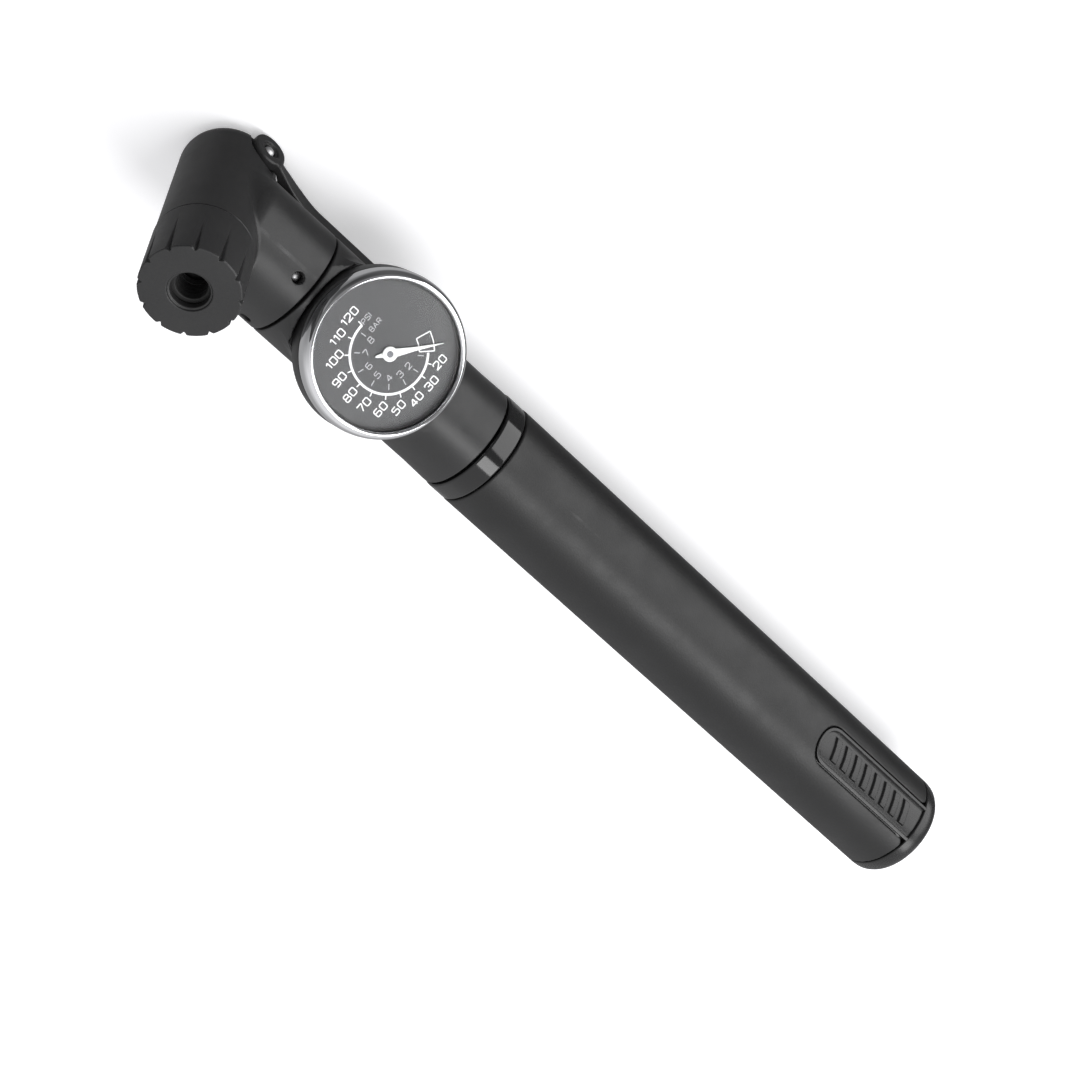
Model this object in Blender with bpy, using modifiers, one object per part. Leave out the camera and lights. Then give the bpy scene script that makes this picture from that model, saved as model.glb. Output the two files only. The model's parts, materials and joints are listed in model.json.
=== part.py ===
"""Mini pump with a gauge, a thumb-lock lever and a telescoping handle.

Metres, +Z up. The pump lies along X with the handle end at +X and the nozzle
pointing up. The design below is drawn about the point where the nozzle axis
crosses the pump axis. One empty, "pump_frame", then carries the whole pump so
that the origin is under the middle of its bounding box, on the resting plane.
Turned pieces are profiles of (radius, height) points that run down the outer
side, from the far end of their axis to the near end.
"""
from math import cos, pi, radians, sin, sqrt, tau

import bmesh
import bpy
from mathutils import Vector

GAP = 0.0003            # clearance left between neighbouring pieces
SMALL = 0.00001         # merge distance of modifiers and welds

# Pump axis, distances along X from the nozzle axis
NECK_SEAM = 0.0238      # end of the head's neck
COLLAR_SEAM = 0.0796    # end of the fixed body
RING_END = 0.0856       # end of the glossy ring
CAP_SEAM = 0.2376       # where the end cap meets the sleeve
PUMP_END = 0.2429       # far face of the end cap
NECK_R = 0.01375
WAIST_R = 0.01340
RING_R = 0.0138
HANDLE_R = 0.0140
SLEEVE_BORE = 0.0124

# Head and nozzle, heights along Z from the pump axis
HEAD_R = 0.0110
HEAD_BACK = -0.0209
HEAD_FRONT = 0.0155
SPIGOT_TOP = 0.0240
SPIGOT_R = 0.0089
HEAD_BORE = 0.0070
NOZZLE_FACE = 0.0328
NOZZLE_R = 0.0112
VALVE_HOLE_R = 0.0043
SEAL_HOLE_R = 0.0034
FLUTES = 12
FLUTE_START = 0.0228
FLUTE_DEPTH = 0.0011
FLUTE_PHASE = radians(6.0)
PLUNGER_TOP = 0.0214
PLUNGER_LOW = -0.0139

# Thumb lever
PIN = Vector((0.0024, 0.0, -0.0166))
PIN_R = 0.0013
CHEEK_R = 0.0043
CHEEK_OUT = 0.0119
HEAD_FLAT = 0.0093      # half width of the head between the lever's cheeks
LEVER_TOP = -0.0146
LEVER_OUT = -0.0168
LEVER_TIP = 0.0590
LEVER_HALF = 0.0084
CAM_OFFSET = 0.0008
CAM_R = 0.0029

# Gauge, heights along its own axis from the pump axis
GAUGE_X = 0.0454
GAUGE_TURN = radians(34.9)
GAUGE_SEAT = 0.0088
CASE_R = 0.0192
CASE_STEP = 0.0146
CASE_TOP = 0.01765
LEDGE = 0.0161
DIAL_R = 0.0169
DIAL_TOP = 0.0170
LENS_LOW = 0.01795
LENS_TOP = 0.0186
BEZEL_TOP = 0.0196
STEM_X = -0.0120        # along the pump axis from the gauge's centre
HUB = (0.0006, 0.0008)  # the needle's shaft stands a little off centre
NEEDLE_REST = radians(51.0)
NEEDLE_REACH = 0.0124
SECTOR_OFFSET = 0.0066  # from the needle's shaft to the sector's
SECTOR_REACH = 0.0048
SECTOR_HALF = radians(34.0)

# Pins through the neck, as turns about the pump axis
NECK_PIN_X = 0.0200
NECK_PIN_TURNS = {"neck_pin_a": GAUGE_TURN, "neck_pin_b": radians(-43.0)}

# Barrel, piston and rod
BARREL_R = 0.0093
BARREL_BORE = 0.0084
BARREL_FOOT = 0.0652
BARREL_END = 0.2220
ROD_R = 0.0030
ROD_HOLE = ROD_R + GAP

# Badge tongue on the handle
BADGE_TURN = radians(48.0)
BADGE_HALF = 0.0054
BADGE_START = 0.1984
BADGE_R = 0.0143

# The pump's box, which sets the origin
BOX_BACK = HEAD_BACK
BOX_MID_X = (PUMP_END - NOZZLE_R) / 2
BOX_MID_Y = 0.00608


def clear_scene():
    for old in list(bpy.data.objects):
        bpy.data.objects.remove(old, do_unlink=True)


def collection(name):
    made = bpy.data.collections.new(name)
    bpy.context.scene.collection.children.link(made)
    return made


def material(name, colour, roughness, metallic=0.0, transmission=0.0):
    made = bpy.data.materials.new(name)
    made.use_nodes = True
    shader = made.node_tree.nodes["Principled BSDF"]
    shader.inputs["Base Color"].default_value = (*colour, 1.0)
    shader.inputs["Roughness"].default_value = roughness
    shader.inputs["Metallic"].default_value = metallic
    shader.inputs["Transmission Weight"].default_value = transmission
    return made


clear_scene()
PARTS = collection("mini_pump")
CUTTERS = collection("mini_pump_cutters")

SATIN_BLACK = material("satin_black_plastic", (0.022, 0.022, 0.023), 0.45)
GRAINED_BLACK = material("grained_black_plastic", (0.030, 0.030, 0.031), 0.62)
GLOSS_BLACK = material("gloss_black_plastic", (0.012, 0.012, 0.013), 0.12)
RUBBER = material("black_rubber", (0.020, 0.020, 0.020), 0.80)
CHROME = material("polished_chrome", (0.80, 0.80, 0.82), 0.06, 1.0)
STEEL = material("bright_steel", (0.62, 0.62, 0.64), 0.22, 1.0)
ALUMINIUM = material("drawn_aluminium", (0.72, 0.73, 0.75), 0.30, 1.0)
BRASS = material("turned_brass", (0.72, 0.52, 0.22), 0.30, 1.0)
WHITE_PLASTIC = material("white_acetal", (0.80, 0.80, 0.78), 0.40)
DIAL_GREY = material("dial_grey", (0.10, 0.10, 0.105), 0.50)
NEEDLE_WHITE = material("needle_white", (0.85, 0.85, 0.85), 0.45)
CLEAR = material("clear_lens", (0.95, 0.96, 0.97), 0.03, 0.0, 0.95)


def empty(name, place, turn=(0.0, 0.0, 0.0), parent=None):
    made = bpy.data.objects.new(name, None)
    made.empty_display_size = 0.01
    made.location = place
    made.rotation_euler = turn
    made.parent = parent
    PARTS.objects.link(made)
    return made


PUMP_FRAME = empty("pump_frame", (-BOX_MID_X, -BOX_MID_Y, -BOX_BACK))
# Its local Z runs along the pump, and its local X points away from the nozzle
PUMP_AXIS = empty("pump_axis", (0.0, 0.0, 0.0), (0.0, pi / 2, 0.0), PUMP_FRAME)
HANDLE_AXIS = empty("handle_slide", (0.0, 0.0, 0.0), (0.0, pi / 2, 0.0), PUMP_FRAME)
LEVER_AXIS = empty("lever_hinge", PIN, parent=PUMP_FRAME)
NOZZLE_AXIS = empty("nozzle_turn", (0.0, 0.0, 0.0), parent=PUMP_FRAME)
GAUGE_AXIS = empty("gauge_axis", (GAUGE_X, 0.0, 0.0), (-GAUGE_TURN, 0.0, 0.0), PUMP_FRAME)
NEEDLE_AXIS = empty("needle_turn", (*HUB, 0.0), parent=GAUGE_AXIS)
SECTOR_AXIS = empty("sector_turn", (HUB[0], HUB[1] - SECTOR_OFFSET, 0.0), parent=GAUGE_AXIS)


def place(obj, mat, parent, home=None):
    """Link an object, give it its material and its parent."""
    (home or PARTS).objects.link(obj)
    obj.parent = parent
    if mat is not None:
        obj.data.materials.append(mat)
    if home is CUTTERS:
        obj.hide_render = True
        obj.display_type = "WIRE"
    return obj


def arc(centre, radius, start, end, steps):
    """Points of an arc in a profile: angle 0 is outward, a quarter turn is up."""
    turns = [start + (end - start) * i / steps for i in range(steps + 1)]
    return [(centre[0] + radius * cos(radians(a)), centre[1] + radius * sin(radians(a)))
            for a in turns]


def turned(name, profile, mat, parent, steps=48, ring=False, home=None):
    """A turned piece about its parent's Z. A ring's profile closes on itself."""
    mesh = bpy.data.meshes.new(name)
    edges = [(i, i + 1) for i in range(len(profile) - 1)]
    if ring:
        edges.append((len(profile) - 1, 0))
    mesh.from_pydata([(r, 0.0, h) for r, h in profile], edges, [])
    obj = place(bpy.data.objects.new(name, mesh), mat, parent, home)
    screw = obj.modifiers.new("turn", "SCREW")
    screw.steps = steps
    screw.render_steps = steps
    screw.use_merge_vertices = True
    screw.merge_threshold = SMALL
    screw.use_smooth_shade = True
    return obj


def rod(name, radius, low, high, mat, parent, steps=24, home=None):
    """A plain cylinder about its parent's Z, from low to high."""
    profile = [(0.0, high), (radius, high), (radius, low), (0.0, low)]
    return turned(name, profile, mat, parent, steps, home=home)


def washer(name, bore, radius, low, high, mat, parent, steps=32, home=None):
    """A flat ring about its parent's Z, from low to high."""
    profile = [(bore, high), (radius, high), (radius, low), (bore, low)]
    return turned(name, profile, mat, parent, steps, ring=True, home=home)


def o_ring(name, major, minor, height, mat, parent):
    section = arc((major, height), minor, 90.0, -225.0, 7)
    return turned(name, section, mat, parent, 24, ring=True)


def cut(obj, tool, operation="DIFFERENCE"):
    step = obj.modifiers.new(tool.name, "BOOLEAN")
    step.operation = operation
    step.solver = "EXACT"
    step.object = tool


def box(name, low, high, parent, home=None, mat=None):
    """A box between two corners, in its parent's frame."""
    bpy.ops.mesh.primitive_cube_add(size=1.0)
    obj = bpy.context.object
    obj.name = name
    for old in list(obj.users_collection):
        old.objects.unlink(obj)
    low, high = Vector(low), Vector(high)
    for corner in obj.data.vertices:
        corner.co = [l + (h - l) * (c + 0.5) for l, h, c in zip(low, high, corner.co)]
    return place(obj, mat, parent, home)


def plate(name, outline, half, mat, parent, spot=(0.0, 0.0, 0.0), turn=(0.0, 0.0, 0.0),
          home=None):
    """A flat outline given a thickness of twice half, as a mesh."""
    curve = bpy.data.curves.new(name + "_outline", "CURVE")
    curve.dimensions = "2D"
    curve.fill_mode = "BOTH"
    curve.extrude = half
    spline = curve.splines.new("POLY")
    spline.points.add(len(outline) - 1)
    for point, (x, y) in zip(spline.points, outline):
        point.co = (x, y, 0.0, 1.0)
    spline.use_cyclic_u = True
    obj = solid_from_curve(name, curve)
    obj.location = spot
    obj.rotation_euler = turn
    return place(obj, mat, parent, home)


def solid_from_curve(name, curve):
    """Turn a curve into a welded mesh object, and drop the curve."""
    guide = bpy.data.objects.new(name + "_guide", curve)
    CUTTERS.objects.link(guide)
    bpy.context.view_layer.update()
    evaluated = guide.evaluated_get(bpy.context.evaluated_depsgraph_get())
    mesh = bpy.data.meshes.new_from_object(evaluated)
    mesh.name = name
    bpy.data.objects.remove(guide, do_unlink=True)
    work = bmesh.new()
    work.from_mesh(mesh)
    bmesh.ops.remove_doubles(work, verts=work.verts, dist=SMALL)
    bmesh.ops.recalc_face_normals(work, faces=work.faces)
    work.to_mesh(mesh)
    work.free()
    return bpy.data.objects.new(name, mesh)


# ---------------------------------------------------------------- head

def head_body():
    """Valve head: a tube with a rounded back, a shouldered neck and a spigot."""
    fillet = 0.0050
    tube = [(0.0, SPIGOT_TOP), (SPIGOT_R, SPIGOT_TOP), (SPIGOT_R, HEAD_FRONT)]
    tube += [(HEAD_R, HEAD_FRONT)]
    tube += arc((HEAD_R - fillet, HEAD_BACK + fillet), fillet, 0.0, -90.0, 8)
    tube += [(0.0, HEAD_BACK)]
    head = turned("head_body", tube, SATIN_BLACK, NOZZLE_AXIS, 48)
    shoulder = 0.0050
    neck = [(0.0, NECK_SEAM), (NECK_R, NECK_SEAM)]
    neck += arc((NECK_R - shoulder, 0.0062), shoulder, 0.0, -90.0, 6)
    neck += [(0.0, 0.0012)]
    cut(head, turned("neck_solid", neck, None, PUMP_AXIS, 48, home=CUTTERS), "UNION")
    cut(head, rod("head_bore", HEAD_BORE, -0.0140, 0.030, None, NOZZLE_AXIS, 32, CUTTERS))
    cut(head, box("cam_room", (-0.0050, -0.0044, -0.0036), (0.0048, 0.0044, 0.0050),
                  LEVER_AXIS, CUTTERS))
    cut(head, rod("neck_bore", 0.0103, 0.0150, 0.030, None, PUMP_AXIS, 32, CUTTERS))
    cut(head, rod("neck_air_way", 0.0025, 0.0050, 0.020, None, PUMP_AXIS, 16, CUTTERS))
    for side in (-1, 1):
        cut(head, cheek_room(side))
    cut(head, rod_across("pin_way", PIN_R + GAP, 0.016, LEVER_AXIS, CUTTERS))
    for tool in neck_pin_holes():
        cut(head, tool)
    return head


def rod_across(name, radius, half, parent, home=None, mat=None):
    """A cylinder along Y through its parent's centre."""
    obj = rod(name, radius, -half, half, mat, parent, 20, home)
    obj.rotation_euler = (pi / 2, 0.0, 0.0)
    return obj


def cheek_room(side):
    """Cutter for the flat beside one cheek: round at the front, open behind."""
    reach = CHEEK_R + 0.0006
    outline = [(reach * cos(a), reach * sin(a)) for a in
               [pi / 2 + pi / 2 * i / 6 for i in range(7)]]
    outline += [(-reach, -0.010), (0.012, -0.010), (0.012, reach)]
    name = "cheek_room_" + ("a" if side < 0 else "b")
    depth = 0.0030
    spot = (0.0, side * (HEAD_FLAT + depth), 0.0)
    return plate(name, outline, depth, None, LEVER_AXIS, spot, (pi / 2, 0.0, 0.0), CUTTERS)


def neck_pin_holes():
    tools = []
    for name, turn in NECK_PIN_TURNS.items():
        tool = rod(name + "_hole", 0.00155, 0.0060, 0.0150, None, PUMP_FRAME, 20, CUTTERS)
        tool.location = (NECK_PIN_X, 0.0, 0.0)
        tool.rotation_euler = (-turn, 0.0, 0.0)
        tools.append(tool)
    return tools


def neck_pins():
    for name, turn in NECK_PIN_TURNS.items():
        pin = rod(name, 0.00125, 0.0063, 0.0113, STEEL, PUMP_FRAME, 20)
        pin.location = (NECK_PIN_X, 0.0, 0.0)
        pin.rotation_euler = (-turn, 0.0, 0.0)


def nozzle_cap():
    """Screw cap over the spigot, with a valve hole and deepening V flutes."""
    edge = 0.0005
    shape = [(VALVE_HOLE_R, NOZZLE_FACE), (NOZZLE_R - edge, NOZZLE_FACE)]
    shape += [(NOZZLE_R, NOZZLE_FACE - edge), (NOZZLE_R, HEAD_FRONT + GAP)]
    shape += [(SPIGOT_R + 0.0004, HEAD_FRONT + GAP), (SPIGOT_R + 0.0004, SPIGOT_TOP + 0.0004)]
    shape += [(0.0072, SPIGOT_TOP + 0.0004), (0.0072, 0.0306), (VALVE_HOLE_R, 0.0306)]
    cap = turned("nozzle_cap", shape, SATIN_BLACK, NOZZLE_AXIS, 48, ring=True)
    cut(cap, flute_cutter())
    return cap


def flute_cutter():
    """Twelve leaning diamond bars whose inner edges cut the flutes."""
    half = 0.0010
    length = 0.0160
    lean = FLUTE_DEPTH / (NOZZLE_FACE - FLUTE_START)
    work = bmesh.new()
    for i in range(FLUTES):
        turn = tau * i / FLUTES + FLUTE_PHASE
        ends = []
        for height in (FLUTE_START - 0.002, FLUTE_START - 0.002 + length):
            inner = NOZZLE_R - lean * (height - FLUTE_START)
            ring = [(inner, 0.0), (inner + half, half), (inner + 3 * half, 0.0),
                    (inner + half, -half)]
            ends.append([work.verts.new((r * cos(turn) - s * sin(turn),
                                         r * sin(turn) + s * cos(turn), height))
                         for r, s in ring])
        low, high = ends
        for j in range(4):
            k = (j + 1) % 4
            work.faces.new((low[j], low[k], high[k], high[j]))
        work.faces.new(list(reversed(low)))
        work.faces.new(high)
    bmesh.ops.recalc_face_normals(work, faces=work.faces)
    mesh = bpy.data.meshes.new("flute_cutter")
    work.to_mesh(mesh)
    work.free()
    return place(bpy.data.objects.new("flute_cutter", mesh), None, NOZZLE_AXIS, CUTTERS)


def nozzle_internals():
    washer("grommet_washer", SEAL_HOLE_R, 0.0067, 0.0229, 0.0247, SATIN_BLACK, NOZZLE_AXIS)
    grommet = [(SEAL_HOLE_R, 0.0302), (0.0060, 0.0302), (0.0069, 0.0292)]
    grommet += [(0.0069, 0.0260), (0.0060, 0.0250), (SEAL_HOLE_R, 0.0250)]
    turned("grommet", grommet, RUBBER, NOZZLE_AXIS, 32, ring=True)
    shape = [(0.0, 0.0030), (0.0016, 0.0030), (0.0016, PLUNGER_TOP), (0.0064, PLUNGER_TOP)]
    shape += [(0.0064, 0.0176), (0.0050, 0.0176), (0.0050, 0.0152), (0.0064, 0.0152)]
    shape += [(0.0064, 0.0130), (0.0032, 0.0120), (0.0032, -0.0100), (0.0064, -0.0110)]
    shape += [(0.0064, PLUNGER_LOW), (0.0, PLUNGER_LOW)]
    turned("plunger", shape, SATIN_BLACK, NOZZLE_AXIS, 32)
    o_ring("plunger_oring", 0.0061, 0.0008, 0.0164, RUBBER, NOZZLE_AXIS)


# --------------------------------------------------------------- lever

def lever_half_width(x):
    """Half width of the lever: it flares smoothly toward its cheeks."""
    flare = max(0.0, (0.0210 - x) / 0.0150)
    return LEVER_HALF + (CHEEK_OUT - LEVER_HALF) * min(1.0, flare) ** 1.6


def thumb_lever():
    """Flat lever along the back of the neck, with two cheeks on the pin."""
    top = LEVER_TOP - PIN.z
    out = LEVER_OUT - PIN.z
    tip = LEVER_TIP + 0.0010 - PIN.x
    side = [(CHEEK_R * cos(a), CHEEK_R * sin(a)) for a in
            [radians(50.0 + 322.0 * i / 24) for i in range(25)]]
    side += [(0.0072, 0.0002), (0.0116, out)]
    side += [(tip - 0.0090, out), (tip - 0.0030, out - 0.0009), (tip, out - 0.0009)]
    side += [(tip, top - 0.0012), (tip - 0.0080, top), (0.0120, top), (0.0072, 0.0034)]
    lever = plate("thumb_lever", side, CHEEK_OUT + 0.0010, SATIN_BLACK, LEVER_AXIS,
                  turn=(pi / 2, 0.0, 0.0))
    stations = [PIN.x - CHEEK_R - 0.001 + i * 0.0016 for i in range(20)]
    edge = [(x, lever_half_width(x)) for x in stations]
    corner = 0.0060
    centre = LEVER_TIP - corner
    edge += [(centre + corner * sin(a), LEVER_HALF - corner + corner * cos(a)) for a in
             [pi / 2 * i / 6 for i in range(7)]]
    plan = edge + [(x, -y) for x, y in reversed(edge)]
    plan = [(x - PIN.x, y) for x, y in plan]
    keep = plate("lever_plan", plan, 0.012, None, LEVER_AXIS, home=CUTTERS)
    cut(lever, keep, "INTERSECT")
    gap = HEAD_FLAT + GAP
    cut(lever, box("lever_fork", (-0.010, -gap, -0.010), (0.0092, gap, 0.010),
                   LEVER_AXIS, CUTTERS))
    cut(lever, rod_across("lever_pin_hole", PIN_R + GAP, 0.014, LEVER_AXIS, CUTTERS))
    for side_sign in (-1, 1):
        name = "pin_rim_" + ("a" if side_sign < 0 else "b")
        rim = rod_across(name, 0.0021, 0.0020, LEVER_AXIS, CUTTERS)
        rim.location = (0.0, side_sign * (CHEEK_OUT + 0.0015), 0.0)
        cut(lever, rim)
    return lever


def lever_parts():
    thumb_lever()
    rod_across("lever_pin", PIN_R, 0.0114, LEVER_AXIS, mat=STEEL)
    cam = rod_across("lever_cam", CAM_R, 0.0040, LEVER_AXIS, mat=BRASS)
    shift = CAM_OFFSET * sqrt(0.5)
    cam.location = (-shift, 0.0, -shift)
    cut(cam, rod_across("cam_pin_hole", PIN_R + GAP, 0.006, LEVER_AXIS, CUTTERS))


# ---------------------------------------------------------------- body

def pump_body():
    """Fixed body: spigot, waisted barrel holder and the gauge's pod."""
    shape = [(0.0, COLLAR_SEAM), (0.0136, COLLAR_SEAM), (0.0136, COLLAR_SEAM - 0.0012)]
    shape += [(WAIST_R, 0.0720), (WAIST_R, 0.0640), (NECK_R, 0.0500)]
    shape += [(NECK_R, NECK_SEAM + 0.0006), (0.0100, NECK_SEAM + 0.0006), (0.0100, 0.0153)]
    shape += [(0.0, 0.0153)]
    body = turned("pump_body", shape, SATIN_BLACK, PUMP_AXIS, 48)
    pod = [(0.0, GAUGE_SEAT), (CASE_R - 0.0006, GAUGE_SEAT), (0.0170, 0.0066)]
    pod += [(0.0140, 0.0036), (0.0110, 0.0010), (0.0, 0.0010)]
    cut(body, turned("gauge_pod", pod, None, GAUGE_AXIS, 48, home=CUTTERS), "UNION")
    cut(body, rod("gauge_seat", CASE_R + 0.0005, GAUGE_SEAT, 0.030, None, GAUGE_AXIS, 48, CUTTERS))
    cut(body, rod("barrel_socket", BARREL_R + GAP, 0.0649, 0.090, None, PUMP_AXIS, 32, CUTTERS))
    cut(body, rod("air_way", 0.0030, 0.0100, 0.0700, None, PUMP_AXIS, 16, CUTTERS))
    stem_hole = rod("stem_hole", 0.0023, 0.0010, 0.020, None, GAUGE_AXIS, 16, CUTTERS)
    stem_hole.location = (STEM_X, 0.0, 0.0)
    cut(body, stem_hole)
    for name in NECK_PIN_TURNS:
        cut(body, bpy.data.objects[name + "_hole"])
    return body


def barrel_parts():
    washer("barrel_tube", BARREL_BORE, BARREL_R, BARREL_FOOT, BARREL_END, ALUMINIUM,
           PUMP_AXIS, 40)
    washer("valve_seat", 0.0020, 0.0081, 0.0655, 0.0677, BRASS, PUMP_AXIS)
    rod("check_valve", 0.0036, 0.0680, 0.0690, RUBBER, PUMP_AXIS)
    guide = [(ROD_HOLE, 0.2240), (BARREL_R, 0.2240), (BARREL_R, BARREL_END + GAP)]
    guide += [(0.0081, BARREL_END + GAP), (0.0081, 0.2140), (ROD_HOLE, 0.2140)]
    turned("rod_guide", guide, WHITE_PLASTIC, PUMP_AXIS, 32, ring=True)


# --------------------------------------------------------------- gauge

def gauge_housing():
    low = GAUGE_SEAT + GAP
    case = [(0.0, 0.0112), (0.0160, 0.0112), (0.0160, LEDGE), (0.0172, LEDGE)]
    case += [(0.0172, CASE_TOP), (0.0178, CASE_TOP), (0.0178, CASE_STEP), (CASE_R, CASE_STEP)]
    case += [(CASE_R, low + 0.0005), (CASE_R - 0.0005, low), (0.0, low)]
    cup = turned("gauge_case", case, SATIN_BLACK, GAUGE_AXIS, 48)
    way = rod("case_stem_way", 0.0023, 0.0080, 0.0140, None, GAUGE_AXIS, 16, CUTTERS)
    way.location = (STEM_X, 0.0, 0.0)
    cut(cup, way)
    skirt = 0.0149
    bezel = [(0.01695, 0.0190), (0.0173, 0.0194), (0.0177, BEZEL_TOP), (0.0182, 0.0194)]
    bezel += [(0.0187, 0.0189), (0.0190, 0.0182), (CASE_R, 0.0173), (CASE_R, skirt)]
    bezel += [(0.0181, skirt), (0.0181, 0.0189), (0.01695, 0.0189)]
    turned("bezel", bezel, CHROME, GAUGE_AXIS, 48, ring=True)
    rod("lens", 0.0178, LENS_LOW, LENS_TOP, CLEAR, GAUGE_AXIS, 48)
    washer("lens_gasket", 0.0166, 0.0169, DIAL_TOP + GAP, 0.01765, RUBBER, GAUGE_AXIS, 48)
    dial = rod("dial_plate", DIAL_R, LEDGE + GAP, DIAL_TOP, DIAL_GREY, GAUGE_AXIS, 48)
    hole = rod("dial_hole", 0.0012, LEDGE - 0.001, DIAL_TOP + 0.001, None, NEEDLE_AXIS, 16,
               CUTTERS)
    cut(dial, hole)


def needle():
    """Pointer with a round hub; the blade tapers to the tip."""
    low, high = 0.0173, 0.0176
    c, s = cos(NEEDLE_REST), sin(NEEDLE_REST)
    blade = [(-0.0034, -0.0006), (0.0, -0.0009), (NEEDLE_REACH - 0.0022, -0.0009)]
    blade += [(NEEDLE_REACH, 0.0), (NEEDLE_REACH - 0.0022, 0.0009), (0.0, 0.0009)]
    blade += [(-0.0034, 0.0006)]
    outline = [(x * c - y * s, x * s + y * c) for x, y in blade]
    pointer = plate("needle", outline, (high - low) / 2, NEEDLE_WHITE, NEEDLE_AXIS,
                    (0.0, 0.0, (low + high) / 2))
    hub = rod("needle_hub", 0.0018, low - 0.00005, 0.01765, None, NEEDLE_AXIS, 24, CUTTERS)
    cut(pointer, hub, "UNION")
    bore = rod("needle_bore", 0.0009, 0.0165, 0.0175, None, NEEDLE_AXIS, 16, CUTTERS)
    cut(pointer, bore)


def gauge_works():
    """Brass movement: stem, curved pressure tube, plate, sector and pinion."""
    stem = rod("gauge_stem", 0.0020, 0.0040, 0.0128, BRASS, GAUGE_AXIS, 20)
    stem.location = (STEM_X, 0.0, 0.0)
    coil = bpy.data.curves.new("bourdon_tube", "CURVE")
    coil.dimensions = "3D"
    coil.bevel_depth = 0.0009
    coil.bevel_resolution = 2
    coil.use_fill_caps = True
    spline = coil.splines.new("POLY")
    count = 30
    spline.points.add(count)
    for i, point in enumerate(spline.points):
        turn = radians(176.0 + 236.0 * i / count)
        point.co = (-STEM_X * cos(turn), -STEM_X * sin(turn), 0.0141, 1.0)
    place(bpy.data.objects.new("bourdon_tube", coil), BRASS, GAUGE_AXIS)
    plate_low, plate_high = 0.0151, 0.0157
    body = washer("movement_plate", 0.0011, 0.0092, plate_low, plate_high, BRASS,
                  NEEDLE_AXIS, 32)
    for i, turn in enumerate((150.0, -150.0)):
        post = rod("movement_post_%d" % i, 0.0010, 0.0115, plate_low + 0.0002, None,
                   NEEDLE_AXIS, 16, CUTTERS)
        post.location = (0.0080 * cos(radians(turn)), 0.0080 * sin(radians(turn)), 0.0)
        cut(body, post, "UNION")
    shaft = [(0.0, 0.01725), (0.0007, 0.01725), (0.0007, 0.0147), (0.0014, 0.0147)]
    shaft += [(0.0014, 0.0137), (0.0007, 0.0137), (0.0007, 0.0116), (0.0, 0.0116)]
    turned("needle_shaft", shaft, STEEL, NEEDLE_AXIS, 20)
    sector = [(SECTOR_REACH * sin(a), SECTOR_REACH * cos(a)) for a in
              [SECTOR_HALF - 2 * SECTOR_HALF * i / 10 for i in range(11)]]
    sector += [(-0.0010, 0.0006), (-0.0006, -0.0022), (0.0006, -0.0022), (0.0010, 0.0006)]
    # At zero pressure the sector's leading edge is at the pinion
    plate("sector_gear", sector, 0.0004, BRASS, SECTOR_AXIS, (0.0, 0.0, 0.0142),
          (0.0, 0.0, -SECTOR_HALF))


# -------------------------------------------------------------- handle

def handle_sleeve():
    edge = 0.0004
    shape = [(SLEEVE_BORE, CAP_SEAM - GAP), (HANDLE_R, CAP_SEAM - GAP)]
    shape += [(HANDLE_R, RING_END + GAP + edge), (HANDLE_R - edge, RING_END + GAP)]
    shape += [(SLEEVE_BORE, RING_END + GAP)]
    sleeve = turned("handle_sleeve", shape, GRAINED_BLACK, HANDLE_AXIS, 48, ring=True)
    cut(sleeve, badge_prism("badge_window", BADGE_HALF + GAP, BADGE_START - GAP))
    return sleeve


def badge_prism(name, half, start):
    """Stadium-ended prism that runs outward through one side of the handle."""
    end = CAP_SEAM + 0.0010
    outline = [(end, -half), (end, half)]
    outline += [(start + half - half * sin(a), half * cos(a)) for a in
                [pi * i / 12 for i in range(13)]]
    prism = plate(name, outline, 0.0040, None, PUMP_FRAME, home=CUTTERS)
    prism.rotation_euler = (-BADGE_TURN, 0.0, 0.0)
    middle = 0.0122
    prism.location = (0.0, middle * sin(BADGE_TURN), middle * cos(BADGE_TURN))
    return prism


def end_cap():
    """Rounded cap with a plug inside the sleeve and a badge tongue along it."""
    round_r = 0.0025
    plug = SLEEVE_BORE - GAP
    shape = [(0.0, PUMP_END), (HANDLE_R - round_r, PUMP_END)]
    shape += arc((HANDLE_R - round_r, PUMP_END - round_r), round_r, 72.0, 0.0, 4)
    shape += [(HANDLE_R, CAP_SEAM), (plug, CAP_SEAM), (plug, 0.2275), (ROD_HOLE, 0.2275)]
    shape += [(ROD_HOLE, 0.2370), (0.0, 0.2370)]
    cap = turned("end_cap", shape, GLOSS_BLACK, HANDLE_AXIS, 48)
    shell = washer("badge_shell", SLEEVE_BORE - 0.0010, BADGE_R, 0.1950, CAP_SEAM + 0.0006,
                   None, HANDLE_AXIS, 48, CUTTERS)
    cut(shell, badge_prism("badge_outline", BADGE_HALF, BADGE_START), "INTERSECT")
    cut(cap, shell, "UNION")
    return cap


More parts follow.
